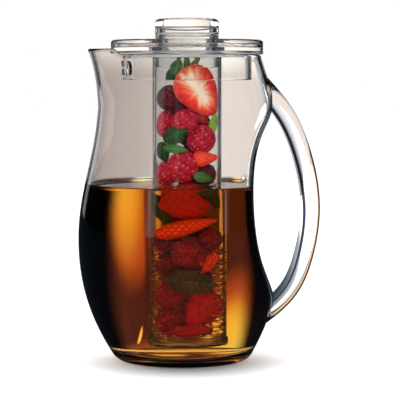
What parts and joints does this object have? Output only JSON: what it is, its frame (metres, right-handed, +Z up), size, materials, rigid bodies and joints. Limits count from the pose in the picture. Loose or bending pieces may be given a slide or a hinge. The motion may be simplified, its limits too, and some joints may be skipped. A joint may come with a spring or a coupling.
{
  "type": "fruit infuser jug",
  "caption": "Clear acrylic jug with a scooped back, bonded bow handle, pulled spout, lift-off two-tier lid, screw knob and a slotted fruit tube that screws to the lid.",
  "frame": {"origin": "on the axis of the lid and fruit tube, at the flat base the jug stands on", "axes": "+Z up along the axis of the lid and tube, +X towards the handle, -X towards the spout"},
  "size_m": [0.1889, 0.159, 0.2666],
  "materials": {
    "body_acrylic": "polished",
    "handle_acrylic": "polished",
    "lid_acrylic": "polished",
    "knob_acrylic": "polished",
    "tube_acrylic": "polished",
    "seal_silicone": "satin"
  },
  "bodies": {
    "jug": {"jug_body": "body_acrylic", "handle": "handle_acrylic"},
    "seal_ring": {"lid_seal": "seal_silicone"},
    "lid": {"pour_guard": "lid_acrylic", "lid_cover": "lid_acrylic"},
    "tube_washer": {"tube_seal": "seal_silicone"},
    "infuser": {"infuser_tube": "tube_acrylic"},
    "cap_washer": {"base_seal": "seal_silicone"},
    "base_cap": {"infuser_base_cap": "tube_acrylic"},
    "knob_washer": {"knob_seal": "seal_silicone"},
    "knob": {"knob": "knob_acrylic"}
  },
  "joints": [
    {"name": "lid_lift", "type": "slide", "parent": "jug", "child": "seal_ring", "axis": [0, 0, 1], "range_m": [0, 0.245]},
    {"name": "lid_turn", "type": "hinge", "parent": "seal_ring", "child": "lid", "pos_m": [0, 0, 0.238], "axis": [0, 0, 1], "continuous": true},
    {"name": "infuser_turn", "type": "hinge", "parent": "lid", "child": "tube_washer", "pos_m": [0, 0, 0.238], "axis": [0, 0, -1], "range_deg": [0, 450]},
    {"name": "infuser_drop", "type": "slide", "parent": "tube_washer", "child": "infuser", "axis": [0, 0, -1], "range_m": [0, 0.0046]},
    {"name": "base_cap_turn", "type": "hinge", "parent": "infuser", "child": "cap_washer", "pos_m": [0, 0, 0.02], "axis": [0, 0, -1], "range_deg": [0, 540]},
    {"name": "base_cap_drop", "type": "slide", "parent": "cap_washer", "child": "base_cap", "axis": [0, 0, -1], "range_m": [0, 0.0037]},
    {"name": "knob_turn", "type": "hinge", "parent": "lid", "child": "knob_washer", "pos_m": [0, 0, 0.238], "axis": [0, 0, 1], "range_deg": [0, 630]},
    {"name": "knob_rise", "type": "slide", "parent": "knob_washer", "child": "knob", "axis": [0, 0, 1], "range_m": [0, 0.0141]}
  ],
  "couplings": [
    {"joint": "infuser_drop", "follows": "infuser_turn", "m_per_rad": 0.00057296},
    {"joint": "base_cap_drop", "follows": "base_cap_turn", "m_per_rad": 0.00038197},
    {"joint": "knob_rise", "follows": "knob_turn", "m_per_rad": 0.0012732}
  ]
}
